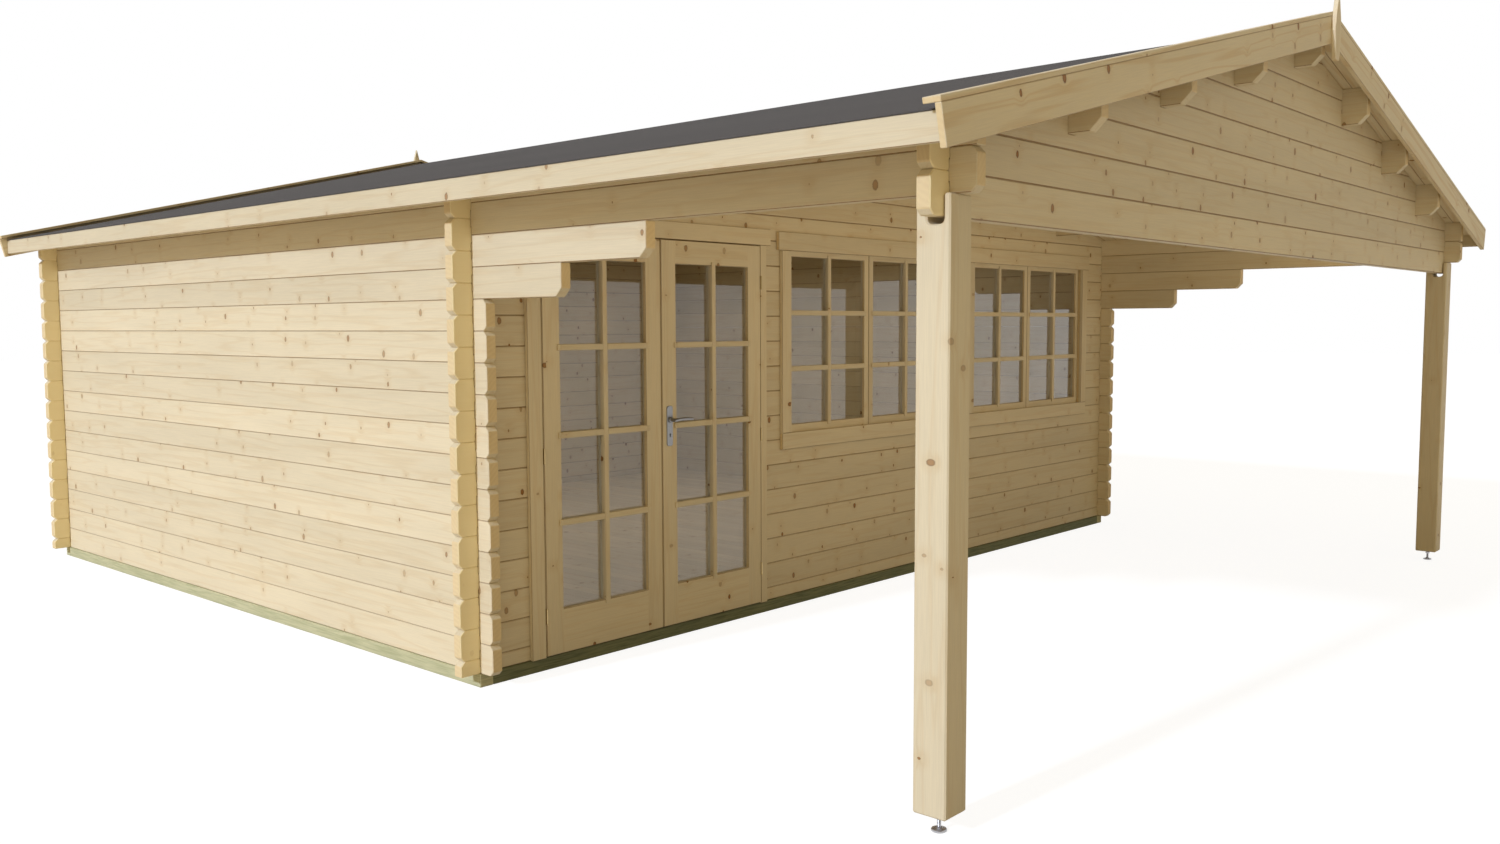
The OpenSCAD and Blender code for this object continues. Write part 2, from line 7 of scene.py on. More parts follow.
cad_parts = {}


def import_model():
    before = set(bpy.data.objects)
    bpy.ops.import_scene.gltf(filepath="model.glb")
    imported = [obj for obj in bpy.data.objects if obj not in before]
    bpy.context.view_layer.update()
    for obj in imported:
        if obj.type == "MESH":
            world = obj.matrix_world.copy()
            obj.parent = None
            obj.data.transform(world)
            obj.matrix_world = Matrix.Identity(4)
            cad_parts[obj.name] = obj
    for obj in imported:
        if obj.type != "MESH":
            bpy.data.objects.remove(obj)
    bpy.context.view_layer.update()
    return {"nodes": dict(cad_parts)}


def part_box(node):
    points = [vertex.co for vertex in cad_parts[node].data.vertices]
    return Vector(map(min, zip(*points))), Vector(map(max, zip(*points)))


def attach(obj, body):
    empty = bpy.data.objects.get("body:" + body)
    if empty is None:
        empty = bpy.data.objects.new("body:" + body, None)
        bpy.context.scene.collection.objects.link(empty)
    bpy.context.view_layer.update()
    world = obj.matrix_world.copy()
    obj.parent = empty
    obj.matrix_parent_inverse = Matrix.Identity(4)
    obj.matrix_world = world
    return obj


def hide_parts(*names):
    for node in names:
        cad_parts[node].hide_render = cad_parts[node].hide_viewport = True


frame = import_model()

nodes = frame["nodes"]

# Photograph's camera, in pixels of its frame and metres of the part's frame
IMAGE_WIDTH = 1500
FOCAL_PIXELS = 1232.0
CAMERA_AT = Vector((-6.078, -5.558, 1.567))
CAMERA_YAW = math.radians(48.133)
CAMERA_DOWN = math.radians(4.504)
CAMERA_ROLL = math.radians(0.231)
SENSOR_MM = 36.0

# Sizes that repeat those of the solids
ROOF_PITCH = math.radians(14)
ROOF_BOARD = 0.018
RIDGE_GAP = 0.0005
EAVE_GAP = 0.0002
REBATE = 0.008
BED = 0.0004
SASH_PLAY = 0.002
SASHES = 2
WINDOW_BETWEEN = 0.351

# Glazing bars: width, how far they stand in front of the sash and how far they lap over it
BAR = 0.028
BAR_PROUD = 0.008
BAR_LAP = 0.018
BAR_EDGE = 0.002

# Trim: depth of the boards over the door, under and over the windows, and of the door frame's head
DOOR_HEAD = 0.086
WINDOW_FOOT = 0.090
WINDOW_HEAD = 0.100
FRAME_HEAD = 0.050

# Chamfers on the edges of the solids
LOG_EDGE = 0.0036
SIDE_EDGE = 0.0024
TRIM_EDGE = 0.002
POST_EDGE = 0.005
BEAM_EDGE = 0.003

# Painted warm bounce light on the flanks of the log ends starts this far inside the face of the foundation
BOUNCE_LIGHT_INSIDE = 0.008

# Grain: how far each log is shifted in the pattern, then rings and fibres in waves per metre
LOT_ALONG = 53.0
LOT_ACROSS = 17.0
RING_LONG = 0.75
RING_WIDE = 15.0
RING_COUNT = 9.0
FIBRE_LONG = 8.0
FIBRE_WIDE = 330.0

# Knots: the cell each has a chance in, its reach along and across the grain, its radius and its halo
KNOT_CELL = (0.31, 0.072)
KNOT_STRETCH = (1.15, 0.8)
KNOT_RADIUS = 0.0032
KNOT_MORE = 0.0135
KNOT_HALO = 0.055

# Handle: its plate, and the places of the lever and the keyhole on it
PLATE_HALF = 0.019
PLATE_CORNER = 0.012
PLATE_THICK = 0.006
PLATE_SHOULDER = 0.0045
PLATE_MIDDLE_DOWN = 0.03
LEVER_UP = 0.130
LEVER_OUT = 0.051
LEVER_BACK = 0.009
LEVER_THICK = 0.0085
LEVER_TAPER = 0.002
LEVER_TIP = 0.55
LEVER_BOW = 0.004
LEVER_FLAT = 0.75
KEY_DOWN = 0.072
KEY_OUT = 0.0061
KEY_DEEP = 0.0012

# Colours as sRGB bytes
PINE = (225, 212, 183)
PINE_LATE = (208, 180, 134)
PINE_END = (232, 208, 160)
# Brown of the painted shade in the small chamfers along the grain
GROOVE_SHADE = (126, 82, 26)
# Pale warm tint of the painted bounce light on the flanks of the log ends
CORNER_BOUNCE_LIGHT = (255, 238, 190)
KNOT = (152, 100, 40)
KNOT_RIM = (112, 68, 22)
GREEN = (207, 204, 168)
GREEN_DARK = (176, 177, 138)
# Darker copy of the green timber: painted shade for the front foundation
GREEN_PAINTED_SHADE = (124, 126, 90)
GREEN_PAINTED_SHADE_DARK = (88, 92, 60)
FELT = (100, 97, 97)
FELT_DARK = (72, 70, 70)
STEEL = (160, 159, 158)
STEEL_DARK = (122, 121, 121)
BRIGHT_ZINC = (202, 202, 205)
BRIGHT_ZINC_DARK = (164, 164, 168)
YELLOW_ZINC = (206, 184, 136)
YELLOW_ZINC_DARK = (160, 136, 92)
GLASS = (246, 248, 246)


def linear(colour):
    """Linear colour with alpha 1 from sRGB bytes."""
    def one(byte):
        c = byte / 255
        return c / 12.92 if c <= 0.04045 else ((c + 0.055) / 1.055) ** 2.4
    return tuple(one(b) for b in colour) + (1.0,)


class Graph:
    """Short calls that build one material's node tree."""

    def __init__(self, name):
        self.material = bpy.data.materials.new(name)
        self.material.use_nodes = True
        self.tree = self.material.node_tree
        self.shader = self.tree.nodes["Principled BSDF"]
        self.output = self.tree.nodes["Material Output"]

    def node(self, kind, **settings):
        made = self.tree.nodes.new("ShaderNode" + kind)
        for key, value in settings.items():
            setattr(made, key, value)
        return made

    def feed(self, socket, value):
        if isinstance(value, bpy.types.NodeSocket):
            self.tree.links.new(value, socket)
        else:
            socket.default_value = value

    def math(self, operation, *values):
        made = self.node("Math", operation=operation)
        for socket, value in zip(made.inputs, values):
            self.feed(socket, value)
        return made.outputs[0]

    def vector(self, operation, *values):
        made = self.node("VectorMath", operation=operation)
        for socket, value in zip(made.inputs, values):
            self.feed(socket, value)
        return made.outputs["Value" if operation == "LENGTH" else "Vector"]

    def combine(self, *values):
        made = self.node("CombineXYZ")
        for socket, value in zip(made.inputs, values):
            self.feed(socket, value)
        return made.outputs[0]

    def split(self, vector):
        made = self.node("SeparateXYZ")
        self.feed(made.inputs[0], vector)
        return made.outputs[0], made.outputs[1], made.outputs[2]

    def turn(self, vector, angle):
        """Vector turned about Y."""
        made = self.node("Mapping", vector_type="POINT")
        self.feed(made.inputs["Vector"], vector)
        made.inputs["Rotation"].default_value = (0, angle, 0)
        return made.outputs[0]

    def noise(self, vector, detail=2.0, roughness=0.5):
        made = self.node("TexNoise")
        self.feed(made.inputs["Vector"], vector)
        made.inputs["Scale"].default_value = 1.0
        made.inputs["Detail"].default_value = detail
        made.inputs["Roughness"].default_value = roughness
        return made.outputs[0]

    def range(self, value, low, high, to_low=0.0, to_high=1.0, smooth=True):
        made = self.node("MapRange", interpolation_type="SMOOTHSTEP" if smooth else "LINEAR")
        for socket, entry in zip(made.inputs, (value, low, high, to_low, to_high)):
            self.feed(socket, entry)
        return made.outputs[0]

    def mix(self, factor, a, b, blend="MIX"):
        made = self.node("Mix", data_type="RGBA", blend_type=blend)
        self.feed(made.inputs[0], factor)
        self.feed(made.inputs[6], a)
        self.feed(made.inputs[7], b)
        return made.outputs[2]

    def choose(self, factor, a, b):
        made = self.node("Mix", data_type="FLOAT")
        self.feed(made.inputs[0], factor)
        self.feed(made.inputs[2], a)
        self.feed(made.inputs[3], b)
        return made.outputs[0]

    def bump(self, height, strength, distance):
        made = self.node("Bump")
        made.inputs["Strength"].default_value = strength
        made.inputs["Distance"].default_value = distance
        self.feed(made.inputs["Height"], height)
        self.feed(self.shader.inputs["Normal"], made.outputs[0])

    def set(self, **values):
        """Values on the shader's own sockets."""
        for key, value in values.items():
            self.feed(self.shader.inputs[key.replace("_", " ")], value)


def pine(name, axis, tilt=0.0, cross=None, knots=0.5, groove_shade=0.0, bounce_light_beyond=None, figure=0.22,
         shade=1.0, bold=0.95):
    """Planed softwood with the grain along axis, turned by tilt about Y.

    cross marks cross-grained places, groove is how dark the painted shade in the small chamfers
    along the grain is, sealed is the distance from the middle beyond which the flanks of the log ends
    get painted warm bounce light, figure is how strongly the late wood shows, shade how light the
    whole is and bold how strongly the knots show."""
    g = Graph(name)
    place = g.node("TexCoord")
    x, y, z = g.split(g.turn(place.outputs["Object"], tilt))
    nx, ny, nz = g.split(g.turn(place.outputs["Normal"], tilt))
    along, across, depth, facing, beside = {
        "X": (x, z, y, nx, (ny, nz)), "Y": (y, z, x, ny, (nx, nz)), "Z": (z, x, y, nz, (nx, ny))}[axis]
    if cross:
        mask = cross(g, x, z)
        along, across, facing = g.choose(mask, z, x), g.choose(mask, x, z), g.choose(mask, nz, nx)
    lot = g.node("NewGeometry").outputs["Random Per Island"]
    along = g.math("MULTIPLY_ADD", lot, LOT_ALONG, along)
    across = g.math("MULTIPLY_ADD", lot, LOT_ACROSS, across)

    # Knots: one chance in each cell of the board, a few millimetres to a few centimetres across
    cell_long, cell_wide = KNOT_CELL
    round_face = g.math("SUBTRACT", across, depth)
    cell = g.combine(g.math("DIVIDE", along, cell_long), g.math("DIVIDE", round_face, cell_wide), 0.0)
    spots = g.node("TexVoronoi", voronoi_dimensions="2D")
    g.feed(spots.inputs["Vector"], cell)
    spots.inputs["Scale"].default_value = 1.0
    spots.inputs["Randomness"].default_value = 0.9
    apart = g.vector("SUBTRACT", cell, spots.outputs["Position"])
    stretch = (cell_long * KNOT_STRETCH[0], cell_wide * KNOT_STRETCH[1], 0.0)
    apart = g.vector("LENGTH", g.vector("MULTIPLY", apart, stretch))
    chance, size, strength = g.split(spots.outputs["Color"])
    present = g.math("LESS_THAN", chance, knots)
    radius = g.math("MULTIPLY_ADD", g.math("POWER", size, 2.0), KNOT_MORE, KNOT_RADIUS)
    ragged = g.math("MULTIPLY_ADD", g.noise(g.combine(g.math("MULTIPLY", along, 160.0),
                                                      g.math("MULTIPLY", across, 160.0), depth)),
                    0.006, g.math("SUBTRACT", apart, 0.003))
    knot = g.math("MULTIPLY", present, g.range(ragged, radius, g.math("MULTIPLY", radius, 0.7)))
    heart = g.range(ragged, g.math("MULTIPLY", radius, 0.75), g.math("MULTIPLY", radius, 0.4))
    halo = g.math("MULTIPLY", present, g.range(apart, KNOT_HALO, 0.0))

    # Growth rings that bend round the knots, and fine fibres
    bent = g.math("MULTIPLY_ADD", halo, 0.018, across)
    rings = g.noise(g.combine(g.math("MULTIPLY", along, RING_LONG), g.math("MULTIPLY", bent, RING_WIDE),
                              g.math("MULTIPLY", depth, RING_WIDE)), 2.0, 0.45)
    wave = g.math("PINGPONG", g.math("MULTIPLY", rings, RING_COUNT), 1.0)
    late = g.range(wave, 0.55, 1.0)
    fibre = g.noise(g.combine(g.math("MULTIPLY", along, FIBRE_LONG), g.math("MULTIPLY", across, FIBRE_WIDE),
                              g.math("MULTIPLY", depth, FIBRE_WIDE)), 2.0, 0.6)
    cloud = g.noise(g.combine(g.math("MULTIPLY", along, 0.9), g.math("MULTIPLY", across, 5.0), depth))

    colour = g.mix(g.math("MULTIPLY", late, figure), linear(PINE), linear(PINE_LATE))
    colour = g.mix(g.math("MULTIPLY", halo, 0.28), colour, linear(PINE_LATE))
    tone = g.range(lot, 0.0, 1.0, 0.93 * shade, 1.04 * shade, False)
    tone = g.math("ADD", tone, g.range(fibre, 0.3, 0.7, -0.035, 0.035))
    tone = g.math("ADD", tone, g.range(cloud, 0.3, 0.7, -0.03, 0.03))
    colour = g.mix(1.0, colour, g.combine(tone, tone, tone), "MULTIPLY")
    spot = g.mix(heart, linear(KNOT_RIM), linear(KNOT))
    colour = g.mix(g.math("MULTIPLY", knot, g.range(strength, 0.0, 1.0, 0.4 * bold, bold)), colour, spot)
    # Painted shade: the small chamfers along the grain are darkened, the downward-facing ones most, as the
    # shade in the V between neighbouring parts
    if groove_shade:
        if cross:
            beside = ny, g.math("MAXIMUM", g.math("ABSOLUTE", nx), g.math("ABSOLUTE", nz))
        slanted = g.math("ABSOLUTE", g.math("MULTIPLY", *beside))
        downward_shade = g.range(nz, 0.4, 0.6, groove_shade, groove_shade if cross else groove_shade * 0.35)
        colour = g.mix(g.math("MULTIPLY", g.range(slanted, 0.35, 0.45), downward_shade), colour, linear(GROOVE_SHADE))
    # Painted bounce light: beyond this distance the flanks of the log ends that face along Y are mixed
    # toward a pale warm tint, as light thrown onto them from the sunlit wall beside
    if bounce_light_beyond:
        beyond = g.math("GREATER_THAN", g.math("ABSOLUTE", x), bounce_light_beyond)
        bounce_lit_flank = g.math("MULTIPLY", beyond, g.range(g.math("ABSOLUTE", ny), 0.5, 0.6))
        colour = g.mix(g.math("MULTIPLY", bounce_lit_flank, 0.8), colour, linear(CORNER_BOUNCE_LIGHT))
    end = g.range(g.math("ABSOLUTE", facing), 0.75, 0.9)
    annual = g.math("PINGPONG", g.math("MULTIPLY", g.vector("LENGTH", g.combine(
        across, g.math("MULTIPLY", depth, 1.6), 0.0)), 95.0), 1.0)
    end_colour = g.mix(g.math("MULTIPLY", annual, 0.3), linear(PINE_END), linear(PINE_LATE))
    g.set(Base_Color=g.mix(g.math("MULTIPLY", end, 0.75), colour, end_colour),
          Roughness=g.range(fibre, 0.2, 0.8, 0.52, 0.68), Specular_IOR_Level=0.32)
    height = g.math("SUBTRACT", g.math("MULTIPLY_ADD", fibre, 0.5, g.math("MULTIPLY", late, 0.5)), knot)
    g.bump(height, 0.22, 0.0008)
    return g.material


def treated_timber(name, pale, dark):
    """Green pressure-treated beams with level grain."""
    g = Graph(name)
    x, y, z = g.split(g.node("TexCoord").outputs["Object"])
    grain = g.noise(g.combine(g.math("MULTIPLY", x, 6.0), g.math("MULTIPLY", y, 6.0),
                              g.math("MULTIPLY", z, 120.0)), 4.0, 0.6)
    patch = g.noise(g.combine(g.math("MULTIPLY", x, 1.5), g.math("MULTIPLY", y, 1.5), z), 2.0)
    colour = g.mix(g.range(grain, 0.35, 0.7), linear(pale), linear(dark))
    colour = g.mix(g.range(patch, 0.4, 0.7, 0.0, 0.4), colour, linear(dark))
    g.set(Base_Color=colour, Roughness=0.8)
    g.bump(grain, 0.4, 0.002)
    return g.material


def roof_felt(tilt):
    """Mineral felt in strips along the roof, with a worn lap line on each."""
    g = Graph("roof_felt_" + ("left" if tilt > 0 else "right"))
    place = g.turn(g.node("TexCoord").outputs["Object"], tilt)
    x, y, z = g.split(place)
    grit = g.noise(g.vector("MULTIPLY", place, (420.0, 420.0, 420.0)), 3.0, 0.7)
    patch = g.noise(g.combine(g.math("MULTIPLY", x, 1.1), g.math("MULTIPLY", y, 0.35), 0.0), 3.0)
    strip = g.math("FRACT", g.math("ADD", g.math("MULTIPLY", x, 1.06), 0.13))
    lap = g.range(strip, 0.012, 0.0)
    colour = g.mix(g.range(grit, 0.35, 0.65), linear(FELT_DARK), linear(FELT))
    colour = g.mix(g.range(patch, 0.35, 0.7, 0.0, 0.3), colour, linear(FELT_DARK))
    colour = g.mix(g.math("MULTIPLY", lap, 0.5), colour, linear(FELT_DARK))
    g.set(Base_Color=colour, Roughness=0.92, Specular_IOR_Level=0.2)
    g.bump(g.math("SUBTRACT", grit, lap), 0.5, 0.002)
    return g.material


def metal(name, bright, dark):
    """Plated steel with faint brushing."""
    g = Graph(name)
    x, y, z = g.split(g.node("TexCoord").outputs["Object"])
    brush = g.noise(g.combine(g.math("MULTIPLY", x, 60.0), g.math("MULTIPLY", y, 60.0),
                              g.math("MULTIPLY", z, 900.0)), 3.0)
    g.set(Base_Color=g.mix(brush, linear(dark), linear(bright)), Metallic=0.9,
          Roughness=g.range(brush, 0.3, 0.7, 0.28, 0.42))
    return g.material


def window_glass():
    """Clear pane with the faintest tint in its colour."""
    g = Graph("window_glass")
    place = g.node("TexCoord").outputs["Object"]
    tint = g.noise(g.vector("MULTIPLY", place, (2.5, 2.5, 2.5)), 3.0)
    g.set(Base_Color=g.mix(g.range(tint, 0.3, 0.7), linear(GLASS), (1.0, 1.0, 1.0, 1.0)), Roughness=0.0,
          IOR=1.5, Transmission_Weight=1.0)
    return g.material


def dark_hole():
    """Shadowed inside of a keyhole."""
    g = Graph("keyhole_dark")
    speck = g.noise(g.vector("MULTIPLY", g.node("TexCoord").outputs["Object"], (300.0, 300.0, 300.0)))
    g.set(Base_Color=g.mix(speck, (0.01, 0.01, 0.01, 1.0), (0.03, 0.03, 0.03, 1.0)), Roughness=0.7)
    return g.material


def finish(obj, material, edge=0.0):
    """Gives a solid its material and, where edge is set, a small chamfer on its sharp edges."""
    obj.data.materials.clear()
    obj.data.materials.append(material)
    if not edge:
        return
    if "custom_normal" in obj.data.attributes:
        obj.data.attributes.remove(obj.data.attributes["custom_normal"])
    obj.data.shade_flat()
    obj.modifiers.new("weld", "WELD").merge_threshold = 1e-5
    flat = obj.modifiers.new("flat", "DECIMATE")
    flat.decimate_type = "DISSOLVE"
    flat.angle_limit = math.radians(1)
    chamfer = obj.modifiers.new("chamfer", "BEVEL")
    chamfer.width = edge
    chamfer.segments = 1
    chamfer.limit_method = "ANGLE"
    chamfer.angle_limit = math.radians(40)


def add_piece(name, mesh, body, material, replaced=()):
    """Links a finished bmesh as a piece on a body."""
    data = bpy.data.meshes.new(name)
    bmesh.ops.recalc_face_normals(mesh, faces=mesh.faces)
    mesh.to_mesh(data)
    mesh.free()
    obj = bpy.data.objects.new(name, data)
    bpy.context.scene.collection.objects.link(obj)
    data.materials.append(material)
    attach(obj, body)
    if replaced:
        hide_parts(*replaced)
    return obj


def add_box(mesh, low, high, matrix=Matrix.Identity(4)):
    """A box between two corners, placed by matrix."""
    low, high = Vector(low), Vector(high)
    size = Matrix.Diagonal((high - low).to_4d())
    size[3][3] = 1.0
    bmesh.ops.create_cube(mesh, size=1.0, matrix=matrix @ Matrix.Translation((low + high) / 2) @ size)


def chamfer_all(mesh, width):
    """Cuts every edge of the mesh."""
    bmesh.ops.bevel(mesh, geom=mesh.edges[:], offset=width, segments=1, affect="EDGES")


def lathe(mesh, profile, at, steps=40):
    """A turned body about Z: profile is (radius, height) pairs from the bottom up."""
    rings = []
    for radius, height in profile:
        ring = []
        for i in range(steps):
            a = 2 * math.pi * i / steps
            spoke = Vector((radius * math.cos(a), radius * math.sin(a), height))
            ring.append(mesh.verts.new(Vector(at) + spoke))
        rings.append(ring)
    for low, high in zip(rings, rings[1:]):
        for i in range(steps):
            j = (i + 1) % steps
            mesh.faces.new((low[i], low[j], high[j], high[i]))
    mesh.faces.new(rings[0][::-1])
    mesh.faces.new(rings[-1])


# Places of the door leaves, sashes and trim
leaf_boxes = {side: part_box("door_leaf_" + side) for side in ("left", "right")}
pane_boxes = {side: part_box("door_glass_" + side) for side in ("left", "right")}
sash_low, sash_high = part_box("window_sashes")
glass_low, glass_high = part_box("window_glass")
sash_start = sash_low.x - SASH_PLAY
sash_pitch = (sash_high.x + SASH_PLAY - sash_start - WINDOW_BETWEEN) / (2 * SASHES)
sash_member = glass_low.x - sash_start + REBATE - BED
second_start = sash_start + SASHES * sash_pitch + WINDOW_BETWEEN
door_stile = pane_boxes["left"][0].x - leaf_boxes["left"][0].x + REBATE - BED
door_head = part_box("door_trim")[1].z - DOOR_HEAD
frame_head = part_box("door_frame")[1].z - FRAME_HEAD
trim_low, trim_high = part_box("window_trim")


def between(g, value, low, high):
    """1 where value lies between low and high."""
    return g.math("MULTIPLY", g.math("GREATER_THAN", value, low), g.math("LESS_THAN", value, high))


def leaf_rails(side):
    """Marks the rails between the stiles of a door leaf."""
    low, high = leaf_boxes[side]
    return lambda g, x, z: between(g, x, low.x + door_stile, high.x - door_stile)


def in_sash(g, x):
    """Distance from the left edge of the sash at x."""
    second = g.math("GREATER_THAN", x, second_start - BED)
    start = g.math("MULTIPLY_ADD", second, second_start - sash_start, sash_start)
    part = g.math("FRACT", g.math("DIVIDE", g.math("SUBTRACT", x, start), sash_pitch))
    return g.math("MULTIPLY", part, sash_pitch)


def sash_rails(g, x, z):
    """Marks the rails between the stiles of every sash."""
    return between(g, in_sash(g, x), sash_member, sash_pitch - sash_member)


def level_sash_bars(g, x, z):
    """Marks the glazing bars beside the upright one of every sash."""
    aside = g.math("ABSOLUTE", g.math("SUBTRACT", in_sash(g, x), sash_pitch / 2))
    return g.math("GREATER_THAN", aside, BAR / 2 + BED / 2)


def level_door_bars(side):
    """Marks the glazing bars beside the upright one of a door leaf."""
    middle = (leaf_boxes[side][0].x + leaf_boxes[side][1].x) / 2
    return lambda g, x, z: g.math(
        "GREATER_THAN", g.math("ABSOLUTE", g.math("SUBTRACT", x, middle)), BAR / 2 + BED / 2)


def door_heads(g, x, z):
    """Marks the level board over the door."""
    return g.math("GREATER_THAN", z, door_head)


def window_heads(g, x, z):
    """Marks the level boards under and over the windows."""
    upright = between(g, z, trim_low.z + WINDOW_FOOT, trim_high.z - WINDOW_HEAD)
    return g.math("SUBTRACT", 1.0, upright)


def frame_heads(g, x, z):
    """Marks the head of the door frame."""
    return g.math("GREATER_THAN", z, frame_head)


# Materials of the solids
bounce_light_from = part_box("foundation_right")[1].x - BOUNCE_LIGHT_INSIDE
pine_x = pine("pine_across", "X", knots=0.7, groove_shade=0.7, bounce_light_beyond=bounce_light_from)
pine_y = pine("pine_lengthways", "Y", knots=0.45, groove_shade=0.8, bold=0.75)
pine_eave = pine("pine_eave", "Y", knots=0.45, groove_shade=0.7, shade=0.9, bold=0.75)
pine_z = pine("pine_upright", "Z", knots=0.3)
pine_post = pine("pine_post", "Z", knots=0.5, shade=0.95)
pine_rake = {side: pine("pine_rake_" + side, "X", sign * ROOF_PITCH, groove_shade=0.5, figure=0.5)
             for side, sign in (("left", 1), ("right", -1))}
timber = treated_timber("treated_timber", GREEN, GREEN_DARK)
# Same treated timber in darker colours, as painted shade
timber_painted_shade = treated_timber("timber_painted_shade", GREEN_PAINTED_SHADE, GREEN_PAINTED_SHADE_DARK)
steel = metal("plated_steel", STEEL, STEEL_DARK)
yellow_zinc = metal("yellow_zinc", YELLOW_ZINC, YELLOW_ZINC_DARK)
bright_zinc = metal("bright_zinc", BRIGHT_ZINC, BRIGHT_ZINC_DARK)
glass = window_glass()

for name in ("back_wall", "front_wall_left", "front_wall_right", "front_wall_top",
             "front_gable", "back_gable", "canopy_gable"):
    finish(nodes[name], pine_x, LOG_EDGE)
for name in ("left_wall", "right_wall", "purlins"):
    finish(nodes[name], pine_y, SIDE_EDGE)
for name in ("post_left", "post_right"):
    finish(nodes[name], pine_post, POST_EDGE)
for name in ("fascia_left", "fascia_right"):
    finish(nodes[name], pine_eave, TRIM_EDGE)
for side in ("left", "right"):
    finish(nodes["bargeboard_front_" + side], pine_rake[side], TRIM_EDGE)
    finish(nodes["bargeboard_back_" + side], pine_rake[side], TRIM_EDGE)
    finish(nodes["roof_felt_" + side], roof_felt(ROOF_PITCH if side == "left" else -ROOF_PITCH))
    wood = pine("pine_leaf_" + side, "Z", cross=leaf_rails(side), knots=0.3, groove_shade=0.6)
    finish(nodes["door_leaf_" + side], wood, TRIM_EDGE)
    finish(nodes["door_glass_" + side], glass)
    finish(nodes["door_knuckles_" + side], yellow_zinc)
    finish(nodes["foundation_" + side], timber, BEAM_EDGE)
finish(nodes["finials"], pine_z, TRIM_EDGE)
# The front foundation is painted darker for the shade under the front wall and the canopy
finish(nodes["foundation_front"], timber_painted_shade, BEAM_EDGE)
finish(nodes["foundation_back"], timber, BEAM_EDGE)
finish(nodes["floor_joists"], timber, BEAM_EDGE)
for name, title, heads, knots in (("door_frame", "pine_door_frame", frame_heads, 0.3),
                                  ("door_trim", "pine_door_trim", door_heads, 0.3),
                                  ("window_trim", "pine_window_trim", window_heads, 0.35),
                                  ("window_sashes", "pine_sashes", sash_rails, 0.2)):
    finish(nodes[name], pine(title, "Z", cross=heads, knots=knots, groove_shade=0.6), TRIM_EDGE)
finish(nodes["window_frame"], pine_x, TRIM_EDGE)
finish(nodes["window_glass"], glass)
finish(nodes["door_hinge_pins"], yellow_zinc)


# Boards of the roof, laid from the ridge down to the eave
def roof_boards(side, sign):
    low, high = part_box("roof_boards_" + side)
    width, gap, edge = 0.096, 0.0008, 0.0025
    count = round((high.y - low.y) / width)
    pitch = (high.y - low.y) / count
    reach = max(abs(low.x), abs(high.x))
    run = (reach - EAVE_GAP) / math.cos(ROOF_PITCH)
    ridge = high.z - ROOF_BOARD / math.cos(ROOF_PITCH)
    mesh = bmesh.new()
    turned = Matrix.Translation((0, 0, ridge)) @ Matrix.Rotation(sign * ROOF_PITCH, 4, "Y")
    for i in range(count):
        y = low.y + i * pitch
        ends = sorted((sign * RIDGE_GAP, sign * run))
        add_box(mesh, (ends[0], y + gap / 2, 0.0), (ends[1], y + pitch - gap / 2, ROOF_BOARD), turned)
    chamfer_all(mesh, edge)
    add_piece("roof_planks_" + side, mesh, "root", pine_rake[side], ["roof_boards_" + side])


roof_boards("left", -1)
roof_boards("right", 1)


# Boards of the floor, across the joists
def floor_boards():
    low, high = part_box("floor_deck")
    width, gap, edge = 0.096, 0.0006, 0.0015
    count = round((high.x - low.x) / width)
    pitch = (high.x - low.x) / count
    mesh = bmesh.new()
    for i in range(count):
        x = low.x + i * pitch
        add_box(mesh, (x + gap / 2, low.y, low.z), (x + pitch - gap / 2, high.y, high.z))
    chamfer_all(mesh, edge)
    add_piece("floor_planks", mesh, "root", pine_y, ["floor_deck"])


floor_boards()


# Glazing bars, planted on both faces of a pane
def glazing_bars(mesh, low, high, sash, pane, rows):
    """One upright and rows - 1 level bars over the clear opening between low and high, as (x, z) pairs.

    sash and pane are the low and high corners of their boxes."""
    front = sash[0].y
    left_end = (low[0] + high[0]) / 2 - BAR / 2
    right_start = (low[0] + high[0]) / 2 + BAR / 2

    def strip(x0, x1, z0, z1, lap):
        add_box(mesh, (x0, front - BAR_PROUD, z0 - lap), (x1, front - BED, z1 + lap))
        add_box(mesh, (x0, front - BED, z0), (x1, pane[0].y - BED, z1))
        add_box(mesh, (x0, pane[1].y + BED, z0), (x1, sash[1].y, z1))

    strip(left_end, right_start, low[1] + BED, high[1] - BED, BAR_LAP)
    spans = ((low[0] + BED, left_end - BED, low[0] - BAR_LAP, low[0] + BED),
             (right_start + BED, high[0] - BED, high[0] - BED, high[0] + BAR_LAP))
    for row in range(1, rows):
        middle = low[1] + (high[1] - low[1]) * row / rows
        z0, z1 = middle - BAR / 2, middle + BAR / 2
        for x0, x1, end0, end1 in spans:
            strip(x0, x1, z0, z1, 0.0)
            add_box(mesh, (end0, front - BAR_PROUD, z0), (end1, front - BED, z1))


def door_bars(side):
    pane_low, pane_high = pane_boxes[side]
    lap = REBATE - BED
    mesh = bmesh.new()
    glazing_bars(mesh, (pane_low.x + lap, pane_low.z + lap), (pane_high.x - lap, pane_high.z - lap),
                 leaf_boxes[side], pane_boxes[side], 4)
    chamfer_all(mesh, BAR_EDGE)
    wood = pine("pine_bars_" + side, "Z", cross=level_door_bars(side), knots=0.3)
    add_piece("door_bars_" + side, mesh, side + "_leaf", wood)


door_bars("left")
door_bars("right")


def window_bars():
    mesh = bmesh.new()
    clear_low, clear_high = glass_low.z + REBATE - BED, glass_high.z - REBATE + BED
    for first in (sash_start, second_start):
        for i in range(SASHES):
            start = first + i * sash_pitch
            end = start + sash_pitch
            glazing_bars(mesh, (start + sash_member, clear_low), (end - sash_member, clear_high),
                         (sash_low, sash_high), (glass_low, glass_high), 3)
    chamfer_all(mesh, BAR_EDGE)
    wood = pine("pine_sash_bars", "Z", cross=level_sash_bars, knots=0.3)
    add_piece("window_bars", mesh, "root", wood)


window_bars()


